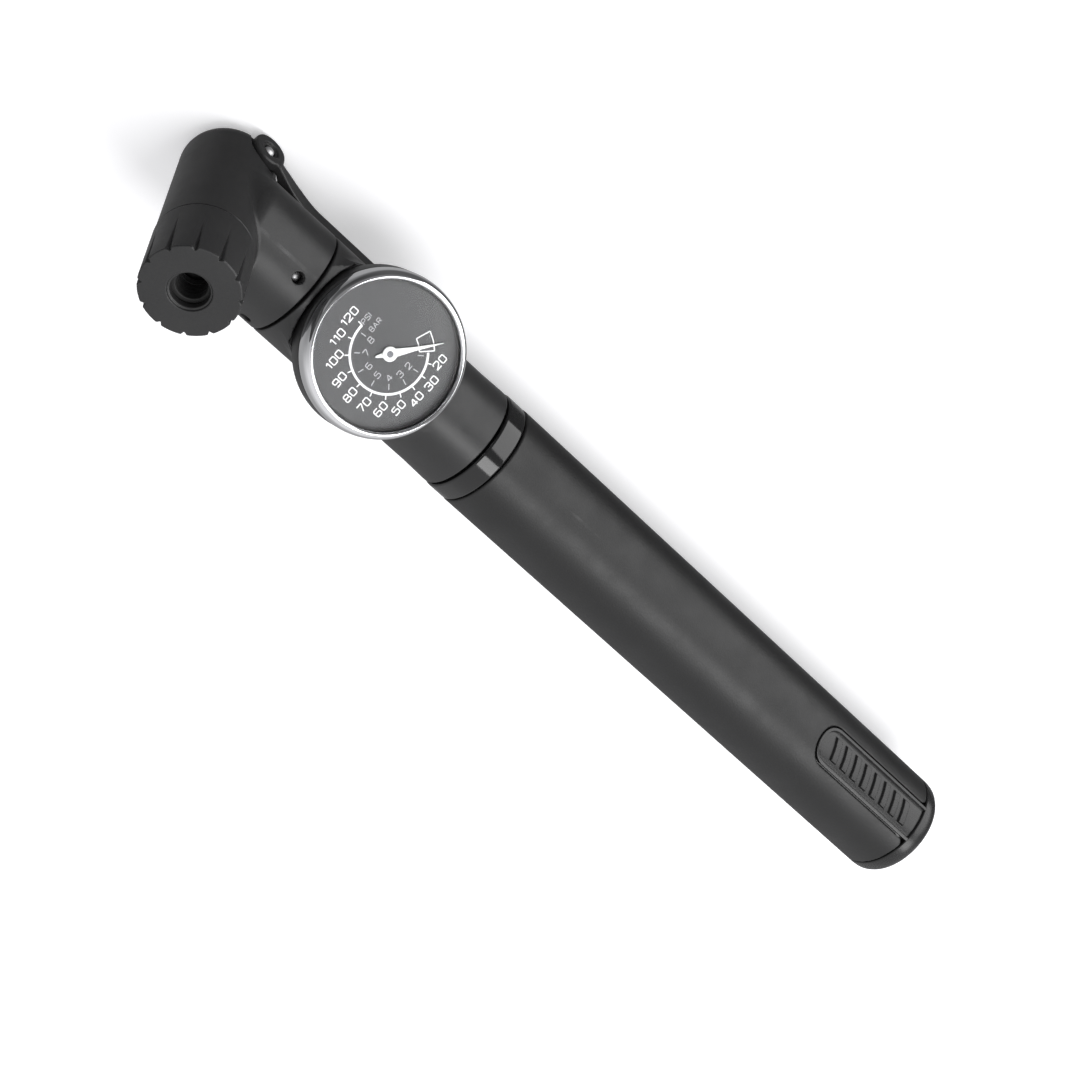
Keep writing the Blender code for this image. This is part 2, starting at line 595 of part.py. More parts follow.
def handle_parts():
    handle_sleeve()
    end_cap()
    ring = [(BARREL_R + 0.0006, RING_END), (RING_R - 0.0002, RING_END)]
    ring += [(RING_R, RING_END - 0.0004), (RING_R, COLLAR_SEAM + 0.0010)]
    ring += [(RING_R - 0.0003, COLLAR_SEAM + 0.0006), (BARREL_R + 0.0006, COLLAR_SEAM + 0.0006)]
    turned("collar_ring", ring, GLOSS_BLACK, HANDLE_AXIS, 48, ring=True)
    washer("handle_bush", BARREL_R + GAP, SLEEVE_BORE - GAP, 0.0862, 0.0940, WHITE_PLASTIC,
           HANDLE_AXIS, 40)
    rod("piston_rod", ROD_R, 0.0700, 0.2366, STEEL, HANDLE_AXIS)
    head = [(ROD_HOLE, 0.0800), (0.0081, 0.0800), (0.0081, 0.0782), (0.0062, 0.0782)]
    head += [(0.0062, 0.0760), (0.0081, 0.0760), (0.0081, 0.0742), (ROD_HOLE, 0.0742)]
    turned("piston_head", head, WHITE_PLASTIC, HANDLE_AXIS, 32, ring=True)
    o_ring("piston_seal", 0.0073, 0.0008, 0.0771, RUBBER, HANDLE_AXIS)
    nut = rod("rod_nut", 0.0056, 0.0708, 0.0739, STEEL, HANDLE_AXIS, 6)
    cut(nut, rod("nut_bore", ROD_HOLE, 0.0700, 0.0750, None, HANDLE_AXIS, 24, CUTTERS))
    washer("rod_bumper", ROD_HOLE, 0.0060, 0.0803, 0.0840, RUBBER, HANDLE_AXIS, 24)


head_body()
neck_pins()
nozzle_cap()
nozzle_internals()
lever_parts()
pump_body()
barrel_parts()
gauge_housing()
needle()
gauge_works()
handle_parts()
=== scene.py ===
"""Looks of the mini pump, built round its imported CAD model.

Shapes are written in millimetres in the pump's own axes: the origin is where the
nozzle's axis crosses the pump's axis, +X runs to the handle's end and +Z out of
the nozzle. Moulded pieces are signed distance fields turned into meshes, turned
pieces are lathed profiles, and every surface has a procedural material.
"""

import json
from math import cos, hypot, pi, radians, sin, tau

import bmesh
import bpy
import numpy as np
from mathutils import Matrix, Vector


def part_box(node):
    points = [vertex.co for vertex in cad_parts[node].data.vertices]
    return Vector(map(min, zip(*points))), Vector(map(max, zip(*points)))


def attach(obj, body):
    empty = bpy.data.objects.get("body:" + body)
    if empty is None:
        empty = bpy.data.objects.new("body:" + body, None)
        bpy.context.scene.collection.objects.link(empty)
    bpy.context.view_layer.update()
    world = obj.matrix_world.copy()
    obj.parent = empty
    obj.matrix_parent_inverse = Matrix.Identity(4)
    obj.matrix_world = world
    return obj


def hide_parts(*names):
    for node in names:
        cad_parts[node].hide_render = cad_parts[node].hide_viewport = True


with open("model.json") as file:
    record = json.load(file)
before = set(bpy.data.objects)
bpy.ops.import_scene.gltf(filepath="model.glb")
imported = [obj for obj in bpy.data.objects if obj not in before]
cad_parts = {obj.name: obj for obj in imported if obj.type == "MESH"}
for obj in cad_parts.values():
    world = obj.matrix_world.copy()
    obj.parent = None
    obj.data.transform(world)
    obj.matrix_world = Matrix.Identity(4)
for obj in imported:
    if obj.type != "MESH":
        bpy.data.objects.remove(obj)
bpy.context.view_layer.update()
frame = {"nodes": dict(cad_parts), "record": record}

MM = 0.001

# ------------------------------------------------------------ the pump's axes

cap_low, cap_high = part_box("nozzle_cap")
rod_low, rod_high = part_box("piston_rod")
ORIGIN = Vector(((cap_low.x + cap_high.x) / 2, (rod_low.y + rod_high.y) / 2,
                 (rod_low.z + rod_high.z) / 2))

# Places along the pump's axis
NECK_PIN_X = 20.0
NECK_SEAM = 23.8
BODY_START = 24.4
GAUGE_X = 45.4
LEVER_TIP = 60.0
BARREL_START, BARREL_END = 65.2, 222.0
BODY_END = 79.6
RING_START, RING_END = 80.2, 85.6
SLEEVE_START, SLEEVE_END = 85.9, 237.3
BADGE_START = 198.4
PUMP_END = 242.9

# Places along the nozzle's axis, and the lever's pivot
HEAD_BACK = -20.9
HEAD_FRONT = 15.5
SPIGOT_TOP = 24.0
NOZZLE_FACE = 32.8
PIN = (2.4, 0.0, -16.6)

# Places along the gauge's axis, and the needle's shaft beside that axis
GAUGE_SEAT = 8.8
DIAL_TOP = 17.0
HUB = (0.6, 0.8)

# Radii and half widths
NECK_R = 13.75
NECK_SOCKET_R = 10.3
HEAD_R = 11.0
HEAD_BORE_R = 7.0
SPIGOT_R = 8.9
NOZZLE_R = 11.2
VALVE_HOLE_R = 4.3
PIN_HOLE_R = 1.6
CHEEK_R = 4.3
CHEEK_OUT = 11.9
HEAD_FLAT = 9.3
CASE_R = 19.2
BARREL_R = 9.3
SLEEVE_BORE = 12.4
BADGE_HALF = 5.4

# Turns about the pump's axis, and the needle's on its dial
GAUGE_TURN = radians(34.9)
NECK_PIN_TURNS = (GAUGE_TURN, radians(-43.0))
BADGE_TURN = radians(48.0)
NEEDLE_REST = radians(51.0)

TO_WORLD = Matrix.Translation(ORIGIN) @ Matrix.Scale(MM, 4)
NOZZLE = Matrix.Identity(4)
PUMP = Matrix.Rotation(pi / 2, 4, "Y")
GAUGE = Matrix.Translation((GAUGE_X, 0, 0)) @ Matrix.Rotation(-GAUGE_TURN, 4, "X")
NEEDLE = GAUGE @ Matrix.Translation((*HUB, 0))
LEVER = Matrix.Translation(PIN)
LEVER_PIN = LEVER @ Matrix.Rotation(pi / 2, 4, "X")
BADGE = Matrix.Rotation(-BADGE_TURN, 4, "X")


# -------------------------------------------------------------- mesh helpers

def piece(name, mesh, axes, body, material, stands_for):
    """Put a mesh drawn in millimetres into the model's frame and tie it to its body."""
    mesh.transform(TO_WORLD @ axes)
    mesh.update()
    made = bpy.data.objects.new(name, mesh)
    bpy.context.scene.collection.objects.link(made)
    mesh.materials.append(material)
    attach(made, body)
    if stands_for:
        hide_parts(*stands_for)


def mesh_of(name, points, faces, crease):
    mesh = bpy.data.meshes.new(name)
    mesh.from_pydata([tuple(p) for p in points], [], [tuple(f) for f in faces])
    mesh.validate()
    mesh.polygons.foreach_set("use_smooth", [True] * len(mesh.polygons))
    mesh.set_sharp_from_angle(angle=radians(crease))
    return mesh


def soften(points, radius, closed=False, steps=4):
    """Round an outline's corners with short curves."""
    count = len(points)
    made = []
    for i, here in enumerate(points):
        if not closed and i in (0, count - 1):
            made.append(here)
            continue
        before, after = points[i - 1], points[(i + 1) % count]
        back = hypot(before[0] - here[0], before[1] - here[1])
        on = hypot(after[0] - here[0], after[1] - here[1])
        reach = min(radius, 0.45 * back, 0.45 * on)
        a = [h + (b - h) * reach / back for h, b in zip(here, before)]
        c = [h + (f - h) * reach / on for h, f in zip(here, after)]
        for k in range(steps + 1):
            u = k / steps
            made.append(tuple((1 - u) ** 2 * p + 2 * u * (1 - u) * h + u * u * q
                              for p, h, q in zip(a, here, c)))
    return made


def lathe(name, profile, steps=160, ring=False, crease=40.0):
    """A turned mesh about Z. The profile is (radius, height), outer side downward."""
    points, rows = [], []
    for r, h in profile:
        if r < 1e-6:
            rows.append([len(points)] * steps)
            points.append((0.0, 0.0, h))
            continue
        rows.append(list(range(len(points), len(points) + steps)))
        points += [(r * cos(tau * i / steps), r * sin(tau * i / steps), h)
                   for i in range(steps)]
    pairs = list(zip(rows, rows[1:]))
    if ring:
        pairs.append((rows[-1], rows[0]))
    faces = []
    for top, low in pairs:
        for i in range(steps):
            k = (i + 1) % steps
            corners = [top[i], low[i], low[k], top[k]]
            distinct = [c for n, c in enumerate(corners) if c not in corners[:n]]
            if len(distinct) > 2:
                faces.append(distinct)
    return mesh_of(name, points, faces, crease)


def ribbon(line, half, low, high, closed=False):
    """A flat stroke of an even width along a line, as points and faces of a solid."""
    count = len(line)
    points = []
    for i, here in enumerate(line):
        before = line[i - 1] if closed or i else here
        after = line[(i + 1) % count] if closed or i < count - 1 else here
        dx, dy = after[0] - before[0], after[1] - before[1]
        size = hypot(dx, dy) or 1.0
        nx, ny = -dy / size * half, dx / size * half
        for side in (1, -1):
            for h in (low, high):
                points.append((here[0] + side * nx, here[1] + side * ny, h))
    faces = []
    for i in range(count if closed else count - 1):
        a, b = 4 * i, 4 * ((i + 1) % count)
        faces += [(a + 1, a + 3, b + 3, b + 1), (a, b, b + 2, a + 2),
                  (a, a + 1, b + 1, b), (a + 2, b + 2, b + 3, a + 3)]
    if not closed:
        end = 4 * (count - 1)
        faces += [(0, 2, 3, 1), (end, end + 1, end + 3, end + 2)]
    return points, faces


def gather(name, parts):
    """One mesh out of several lists of points and faces."""
    points, faces = [], []
    for some, quads in parts:
        shift = len(points)
        points += some
        faces += [tuple(i + shift for i in q) for q in quads]
    return mesh_of(name, points, faces, 30.0)


def slab(outline, low, high, edge):
    """A flat plate from an outline, with a small bevel round its upper face."""
    work = bmesh.new()
    face = work.faces.new([work.verts.new((x, y, low)) for x, y in outline])
    raised = bmesh.ops.extrude_face_region(work, geom=[face])["geom"]
    top = [v for v in raised if isinstance(v, bmesh.types.BMVert)]
    bmesh.ops.translate(work, verts=top, vec=(0, 0, high - low))
    rim = [e for e in work.edges if all(v in top for v in e.verts)]
    bmesh.ops.bevel(work, geom=rim, offset=edge, segments=2, affect="EDGES")
    bmesh.ops.recalc_face_normals(work, faces=work.faces)
    points = [tuple(v.co) for v in work.verts]
    faces = [[v.index for v in f.verts] for f in work.faces]
    work.free()
    return points, faces


# ------------------------------------------------------------ distance fields

def join(a, b, radius):
    """Union with a fillet."""
    return (np.maximum(radius, np.minimum(a, b))
            - np.hypot(np.maximum(radius - a, 0), np.maximum(radius - b, 0)))


def meet(a, b, radius):
    """Intersection with a rounded edge."""
    return (np.minimum(-radius, np.maximum(a, b))
            + np.hypot(np.maximum(radius + a, 0), np.maximum(radius + b, 0)))


def carve(a, b, radius):
    """Cut with a rounded edge."""
    return meet(a, -b, radius)


def between(value, low, high, radius):
    return meet(low - value, value - high, radius)


def outline_field(x, y, outline):
    """Signed distance to a closed outline, negative inside."""
    best = np.full(x.shape, 1e9)
    inside = np.zeros(x.shape, bool)
    for i, (ax, ay) in enumerate(outline):
        bx, by = outline[i - 1]
        ex, ey = bx - ax, by - ay
        wx, wy = x - ax, y - ay
        t = np.clip((wx * ex + wy * ey) / (ex * ex + ey * ey), 0, 1)
        best = np.minimum(best, (wx - ex * t) ** 2 + (wy - ey * t) ** 2)
        spans = (y >= ay) != (y >= by)
        if ey:
            inside ^= spans & (wx < ex * wy / ey)
    return np.where(inside, -1.0, 1.0) * np.sqrt(best)


def settle(field, points):
    """Walk points onto the surface, and give their normals."""
    step, reach = 0.01, 0.35
    for _ in range(4):
        value = field(points)
        slope = np.stack([(field(points + step * axis) - field(points - step * axis))
                          / (2 * step) for axis in np.eye(3)], 1)
        size = np.maximum((slope ** 2).sum(1), 0.2)
        move = slope * (value / size)[:, None]
        length = np.sqrt((move ** 2).sum(1))
        points = points - move * np.minimum(1.0, reach / np.maximum(length, 1e-9))[:, None]
    return points, slope / np.sqrt(np.maximum((slope ** 2).sum(1), 1e-12))[:, None]


def spaced(low, high, step):
    """Grid lines of one spacing, from a little below to a little above two limits."""
    return np.arange(low - 2 * step, high + 3 * step, step)


def graded(stops, steps):
    """Grid lines with a spacing of its own between each two stops."""
    return np.concatenate([np.arange(low, high - 0.5 * step, step)
                           for low, high, step in zip(stops, stops[1:], steps)])


def moulded(name, field, xs, ys, zs):
    """Closed mesh of a distance field: one vertex in each grid cell that it crosses."""
    grid = np.stack(np.meshgrid(xs, ys, zs, indexing="ij"), -1).astype(np.float32)
    value = field(grid.reshape(-1, 3)).reshape(grid.shape[:3])
    inside = value < 0
    shape = inside.shape
    cells, spots, quads = [], [], []
    for axis in range(3):
        near, far = [slice(None)] * 3, [slice(None)] * 3
        near[axis], far[axis] = slice(None, -1), slice(1, None)
        at = np.argwhere(inside[tuple(near)] != inside[tuple(far)])
        step = np.eye(3, dtype=int)
        a, b = tuple(at.T), tuple((at + step[axis]).T)
        share = (value[a] / (value[a] - value[b]))[:, None]
        spot = grid[a] * (1 - share) + grid[b] * share
        u, v = step[(axis + 1) % 3], step[(axis + 2) % 3]
        ring = [np.ravel_multi_index((at - i * u - j * v).T, shape)
                for i, j in ((0, 0), (1, 0), (1, 1), (0, 1))]
        quad = np.stack(ring, 1)
        quad[~inside[a]] = quad[~inside[a]][:, ::-1]
        cells += ring
        spots += [spot] * 4
        quads.append(quad)
    ids, where, count = np.unique(np.concatenate(cells), return_inverse=True,
                                  return_counts=True)
    spots = np.concatenate(spots).astype(float)
    points = np.stack([np.bincount(where, spots[:, k]) / count for k in range(3)], 1)
    points, normals = settle(field, points)
    faces = np.searchsorted(ids, np.concatenate(quads))
    mesh = bpy.data.meshes.new(name)
    mesh.from_pydata(points.tolist(), [], faces.tolist())
    mesh.polygons.foreach_set("use_smooth", [True] * len(mesh.polygons))
    mesh.update()
    mesh.normals_split_custom_set_from_vertices(normals.tolist())
    return mesh


def split(points):
    return points[:, 0], points[:, 1], points[:, 2]


# ------------------------------------------------------------------ materials

class Shade:
    """A material's node tree, with short calls for the nodes used here."""

    def __init__(self, name):
        self.material = bpy.data.materials.new(name)
        self.material.use_nodes = True
        self.tree = self.material.node_tree
        self.shader = self.tree.nodes["Principled BSDF"]
        self.where = self.node("ShaderNodeTexCoord").outputs["Object"]

    def node(self, kind, **values):
        made = self.tree.nodes.new(kind)
        for key, value in values.items():
            setattr(made, key, value)
        return made

    def link(self, source, target):
        self.tree.links.new(source, target)

    def put(self, socket, value):
        """Set a socket of the shader to a value, or feed it from a node."""
        target = self.shader.inputs[socket]
        if isinstance(value, bpy.types.NodeSocket):
            self.link(value, target)
        else:
            target.default_value = value

    def noise(self, scale, detail=3.0, rough=0.55, stretch=None):
        made = self.node("ShaderNodeTexNoise")
        made.inputs["Scale"].default_value = scale
        made.inputs["Detail"].default_value = detail
        made.inputs["Roughness"].default_value = rough
        source = self.where
        if stretch:
            turn = self.node("ShaderNodeMapping")
            turn.inputs["Scale"].default_value = stretch
            self.link(source, turn.inputs["Vector"])
            source = turn.outputs["Vector"]
        self.link(source, made.inputs["Vector"])
        return made.outputs["Fac"]

    def cells(self, scale):
        made = self.node("ShaderNodeTexVoronoi")
        made.inputs["Scale"].default_value = scale
        self.link(self.where, made.inputs["Vector"])
        return made.outputs["Distance"]

    def span(self, source, low, high, to_low=0.0, to_high=1.0):
        made = self.node("ShaderNodeMapRange")
        for key, value in (("From Min", low), ("From Max", high), ("To Min", to_low),
                           ("To Max", to_high)):
            made.inputs[key].default_value = value
        self.link(source, made.inputs["Value"])
        return made.outputs["Result"]

    def sums(self, operation, a, b):
        """Two values, or sockets, put together by a Math node."""
        made = self.node("ShaderNodeMath", operation=operation)
        for socket, value in zip(made.inputs, (a, b)):
            if isinstance(value, bpy.types.NodeSocket):
                self.link(value, socket)
            else:
                socket.default_value = value
        return made.outputs["Value"]

    def blend(self, share, low, high):
        """A colour between two colours or colour sockets."""
        made = self.node("ShaderNodeMix", data_type="RGBA")
        self.link(share, made.inputs["Factor"])
        for key, value in ((6, low), (7, high)):
            if isinstance(value, bpy.types.NodeSocket):
                self.link(value, made.inputs[key])
            else:
                made.inputs[key].default_value = (*value, 1.0)
        return made.outputs[2]

    def bumps(self, layers):
        """Stack bump layers, each (height, strength, distance in metres)."""
        below = None
        for height, strength, distance in layers:
            made = self.node("ShaderNodeBump")
            made.inputs["Strength"].default_value = strength
            made.inputs["Distance"].default_value = distance
            self.link(height, made.inputs["Height"])
            if below is not None:
                self.link(below, made.inputs["Normal"])
            below = made.outputs["Normal"]
        self.link(below, self.shader.inputs["Normal"])

    def edges(self, low, high):
        """Share of wear on raised edges."""
        made = self.node("ShaderNodeNewGeometry")
        return self.span(made.outputs["Pointiness"], low, high)


def grey(value):
    """A grey with a trace of blue."""
    return (value, value, value * 1.02)


def moulded_plastic(name, tone, rough, grain, depth, wear=0.5):
    """Black moulded plastic: fine grain, faint cloudiness, slightly polished edges."""
    s = Shade(name)
    cloud = s.noise(55.0, 4.0)
    fine = s.noise(grain, 2.0, 0.6)
    pores = s.cells(grain * 0.8)
    base = s.blend(s.span(cloud, 0.3, 0.7), grey(tone * 0.85), grey(tone * 1.15))
    base = s.blend(s.span(fine, 0.35, 0.75, 0.0, 0.35), base, grey(tone * 1.9))
    worn = s.sums("MULTIPLY", s.edges(0.53, 0.60), s.span(s.noise(420.0), 0.35, 0.7))
    base = s.blend(s.sums("MULTIPLY", worn, wear), base, grey(tone * 3.0))
    s.put("Base Color", base)
    dull = s.sums("ADD", s.span(s.noise(130.0, 5.0), 0.3, 0.7, rough - 0.05, rough + 0.05),
                  s.span(fine, 0.3, 0.7, -0.04, 0.04))
    s.put("Roughness", s.sums("SUBTRACT", dull, s.sums("MULTIPLY", worn, 0.15)))
    s.put("IOR", 1.44)
    s.bumps([(pores, 0.35, depth), (fine, 0.6, depth),
             (s.noise(180.0, 2.0), 0.25, depth)])
    return s.material


def glossy_plastic(name, tone, rough):
    """Polished black plastic with hairline scuffs and a little dust."""
    s = Shade(name)
    scuff = s.noise(900.0, 3.0, 0.6, (1.0, 9.0, 9.0))
    dust = s.span(s.cells(1500.0), 0.0, 0.10, 1.0, 0.0)
    dust = s.sums("MULTIPLY", dust, s.span(s.noise(160.0), 0.52, 0.68))
    s.put("Base Color", s.blend(dust, grey(tone), grey(tone * 3.5)))
    s.put("Roughness", s.sums("ADD", s.span(scuff, 0.45, 0.75, rough, rough + 0.06),
                              s.sums("MULTIPLY", dust, 0.3)))
    s.put("IOR", 1.52)
    s.bumps([(s.noise(260.0, 2.0), 0.12, 2e-5), (scuff, 0.08, 4e-6)])
    return s.material


def metal(name, colour, rough, stretch, scale, depth, tarnish=0.3):
    """Turned or drawn metal: tool marks along one direction and light tarnish."""
    s = Shade(name)
    marks = s.noise(scale, 4.0, 0.65, stretch)
    stain = s.span(s.noise(300.0, 5.0), 0.45, 0.75, 0.0, tarnish)
    s.put("Base Color", s.blend(stain, colour, tuple(c * 0.62 for c in colour)))
    s.put("Metallic", 1.0)
    s.put("Roughness", s.sums("ADD", s.span(marks, 0.3, 0.7, rough * 0.75, rough * 1.3),
                              s.sums("MULTIPLY", stain, 0.25)))
    s.bumps([(marks, 0.4, depth)])
    return s.material


def soft_rubber(name, tone, rough):
    """Dull rubber with a pale bloom and a fine skin."""
    s = Shade(name)
    bloom = s.span(s.noise(240.0, 5.0), 0.4, 0.7)
    s.put("Base Color", s.blend(bloom, grey(tone), grey(tone * 1.8)))
    s.put("Roughness", s.span(s.noise(700.0), 0.3, 0.7, rough - 0.08, rough + 0.06))
    s.put("Sheen Weight", 0.05)
    s.bumps([(s.noise(3800.0), 0.4, 2e-5), (s.cells(900.0), 0.2, 2e-5)])
    return s.material


def pale_plastic(name, colour):
    """Machined acetal: slightly translucent, faintly cloudy."""
    s = Shade(name)
    cloud = s.span(s.noise(120.0, 4.0), 0.3, 0.7)
    s.put("Base Color", s.blend(cloud, tuple(c * 0.93 for c in colour), colour))
    s.put("Roughness", s.span(s.noise(500.0), 0.3, 0.7, 0.34, 0.46))
    s.put("Subsurface Weight", 0.08)
    s.put("Subsurface Scale", 0.0006)
    s.bumps([(s.noise(2500.0), 0.3, 1e-5)])
    return s.material


def paint(name, colour, rough, grain=4200.0):
    """Thin even coat, with the faint orange peel of print or spray."""
    s = Shade(name)
    mottle = s.span(s.noise(grain, 3.0), 0.3, 0.7)
    s.put("Base Color", s.blend(mottle, tuple(c * 0.90 for c in colour), colour))
    s.put("Roughness", s.span(s.noise(900.0), 0.3, 0.7, rough - 0.05, rough + 0.05))
    s.bumps([(s.noise(grain, 2.0), 0.25, 6e-6)])
    return s.material


def clear_cover(name):
    """Clear moulded cover with a soft sheen and hair-fine scratches."""
    s = Shade(name)
    hair = s.noise(700.0, 5.0, 0.7, (1.0, 14.0, 1.0))
    s.put("Base Color", (0.98, 0.985, 0.99, 1.0))
    s.put("Transmission Weight", 1.0)
    s.put("IOR", 1.03)
    s.put("Roughness", 0.0)
    s.put("Coat Weight", 1.0)
    s.put("Coat IOR", 1.49)
    s.put("Coat Roughness", s.span(hair, 0.40, 0.9, 0.13, 0.30))
    path = s.node("ShaderNodeLightPath")
    open_to_lamps = s.node("ShaderNodeBsdfTransparent")
    mix = s.node("ShaderNodeMixShader")
    s.link(path.outputs["Is Shadow Ray"], mix.inputs["Fac"])
    s.link(s.shader.outputs["BSDF"], mix.inputs[1])
    s.link(open_to_lamps.outputs["BSDF"], mix.inputs[2])
    s.link(mix.outputs["Shader"], s.tree.nodes["Material Output"].inputs["Surface"])
    return s.material


SATIN = moulded_plastic("satin_black_plastic_look", 0.021, 0.40, 4200.0, 1.6e-5)
GRAIN = moulded_plastic("grained_black_plastic_look", 0.011, 0.46, 2600.0, 3.0e-5, 0.3)
BADGE_BLACK = moulded_plastic("badge_black_plastic_look", 0.014, 0.27, 4200.0, 8e-6)
GLOSS = glossy_plastic("gloss_black_plastic_look", 0.010, 0.09)
RUBBER = soft_rubber("black_rubber_look", 0.007, 0.66)
CHROME = metal("polished_chrome_look", (0.86, 0.865, 0.88), 0.045, (1.0, 1.0, 1.0), 900.0,
               1.0e-6, 0.06)
STEEL = metal("bright_steel_look", (0.70, 0.70, 0.71), 0.20, (9.0, 1.0, 9.0), 700.0, 4e-6)
DRAWN = metal("drawn_aluminium_look", (0.76, 0.77, 0.79), 0.26, (0.6, 14.0, 14.0), 420.0,
              5e-6)
PEENED = metal("peened_steel_look", (0.90, 0.90, 0.91), 0.55, (1.0, 1.0, 1.0), 900.0, 8e-6)
BLUED = metal("blued_steel_look", (0.13, 0.13, 0.14), 0.38, (1.0, 1.0, 1.0), 900.0, 2e-6)
BRASS = metal("turned_brass_look", (0.74, 0.53, 0.22), 0.28, (1.0, 1.0, 9.0), 700.0, 5e-6)
ACETAL = pale_plastic("white_acetal_look", (0.80, 0.80, 0.77))
DIAL = paint("dial_grey_look", (0.032, 0.032, 0.034), 0.45)
INK = paint("dial_ink_look", (0.74, 0.74, 0.74), 0.45, 6000.0)
FAINT_INK = paint("dial_faint_ink_look", (0.38, 0.38, 0.39), 0.45, 6000.0)
WHITE_PAINT = paint("needle_white_look", (0.74, 0.74, 0.73), 0.40)
COVER = clear_cover("clear_lens_look")
LOOKS = {"satin_black_plastic": SATIN, "grained_black_plastic": GRAIN,
         "gloss_black_plastic": GLOSS, "black_rubber": RUBBER,
         "polished_chrome": CHROME, "bright_steel": STEEL, "drawn_aluminium": DRAWN,
         "turned_brass": BRASS, "white_acetal": ACETAL, "dial_grey": DIAL,
         "needle_white": WHITE_PAINT, "clear_lens": COVER}

for part in frame["record"]["subparts"]:
    slots = frame["nodes"][part["node"]].data.materials
    slots.clear()
    slots.append(LOOKS[part["material_slot"]])


# ----------------------------------------------------------------------- head

def head_field(points):
    """Nozzle tube with a rounded back, blended into a shouldered neck."""
    x, y, z = split(points)
    out, off = np.hypot(x, y), np.hypot(y, z)
    tube = meet(meet(out - HEAD_R, HEAD_BACK - z, 5.0), z - HEAD_FRONT, 0.25)
    neck = meet(meet(off - NECK_R, 1.2 - x, 5.0), x - NECK_SEAM, 0.35)
    form = join(tube, neck, np.interp(z, [-5.0, 6.0], [3.0, 0.7]))
    form = np.minimum(form, meet(out - SPIGOT_R, np.maximum(14.0 - z, z - SPIGOT_TOP), 0.2))
    form = carve(form, np.maximum(out - HEAD_BORE_R, -14.0 - z), 0.2)
    form = carve(form, meet(off - NECK_SOCKET_R, 15.0 - x, 0.2), 0.15)
    form = carve(form, np.maximum(off - 2.5, np.abs(x - 12.0) - 7.0), 0.1)
    px, pz = x - PIN[0], z - PIN[2]
    reach = CHEEK_R + 0.6
    room = meet(meet(-reach - px, pz - reach, reach), px - 12.0, 0.5)
    form = carve(form, np.maximum(room, HEAD_FLAT - np.abs(y)), 0.25)
    form = carve(form, np.maximum(np.maximum(np.abs(px + 0.1) - 4.9, np.abs(y) - 4.4),
                                  np.abs(pz - 0.7) - 4.3), 0.2)
    form = carve(form, np.hypot(px, pz) - PIN_HOLE_R, 0.15)
    return neck_holes(form, x, y, z)


def neck_holes(form, x, y, z):
    """Holes for the two fixing pins in the neck."""
    for turn in NECK_PIN_TURNS:
        across = y * cos(turn) - z * sin(turn)
        along = y * sin(turn) + z * cos(turn)
        hole = np.maximum(np.hypot(x - NECK_PIN_X, across) - 1.4, 6.0 - along)
        form = carve(form, hole, 0.2)
    return form


def cap_field(points):
    """Screw cap with twelve V flutes that deepen toward its face."""
    x, y, z = split(points)
    out = np.hypot(x, y)
    form = meet(meet(out - NOZZLE_R, z - NOZZLE_FACE, 0.3), 15.8 - z, 0.45)
    pitch = tau / 12
    turn = np.arctan2(y, x) - radians(6.0)
    turn = turn - pitch * np.round(turn / pitch)
    across = np.abs(out * np.sin(turn))
    deep = NOZZLE_R - 0.072 * (z - 20.6)
    groove = across * 0.79 - (out * np.cos(turn) - deep) * 0.61
    form = carve(form, groove, 0.12)
    form = carve(form, np.maximum(out - 9.3, z - 24.4), 0.2)
    form = carve(form, np.maximum(out - 7.2, z - 30.6), 0.2)
    rim = meet(out - VALVE_HOLE_R - 0.55, 32.35 - z, 0.15)
    form = carve(form, rim, 0.2)
    return carve(form, out - VALVE_HOLE_R, 0.3)


def lever_field(points):
    """Thumb lever: a thin channel that hugs the neck and ends in two cheeks on the pin."""
    x, y, z = split(points)
    wide = np.abs(y)
    top, outer = 4.4, -0.2
    tip = LEVER_TIP - PIN[0]
    side = [(CHEEK_R * cos(a), CHEEK_R * sin(a)) for a in
            [radians(50.0 + 322.0 * i / 40) for i in range(41)]]
    side += [(7.2, 0.2), (11.6, outer), (tip - 9.0, outer), (tip - 3.0, outer - 0.9)]
    side += [(tip, outer - 0.9), (tip, 0.8), (tip - 9.0, 2.4), (tip - 16.0, top),
             (10.0, top), (6.4, 3.9)]
    form = outline_field(x, z, side)
    form = carve(form, np.hypot(y, z + PIN[2]) - NECK_R - 0.4, 0.2)
    along = x + PIN[0]
    flare = np.clip((21.0 - along) / 15.0, 0, 1) ** 1.6
    half = 8.4 + (CHEEK_OUT - 8.4) * flare
    plan = meet(wide - half, along - LEVER_TIP + 1.0, 6.0)
    form = meet(form, plan * 0.95, 0.45)
    gap = HEAD_FLAT + 0.3
    fork = np.maximum(wide - gap, np.hypot(along, y) - HEAD_R - 0.65)
    form = carve(form, fork, 0.3)
    ridge = np.abs((x - 44.0) - 2.0 * np.round(np.clip((x - 44.0) / 2.0, -2, 2)))
    groove = np.maximum(np.hypot(ridge, z - outer + 0.25) - 0.55, wide - 5.6)
    form = carve(form, groove, 0.25)
    pin = np.hypot(x, z)
    form = carve(form, pin - PIN_HOLE_R, 0.1)
    return carve(form, np.maximum(pin - 2.15, CHEEK_OUT - 0.5 - wide), 0.2)


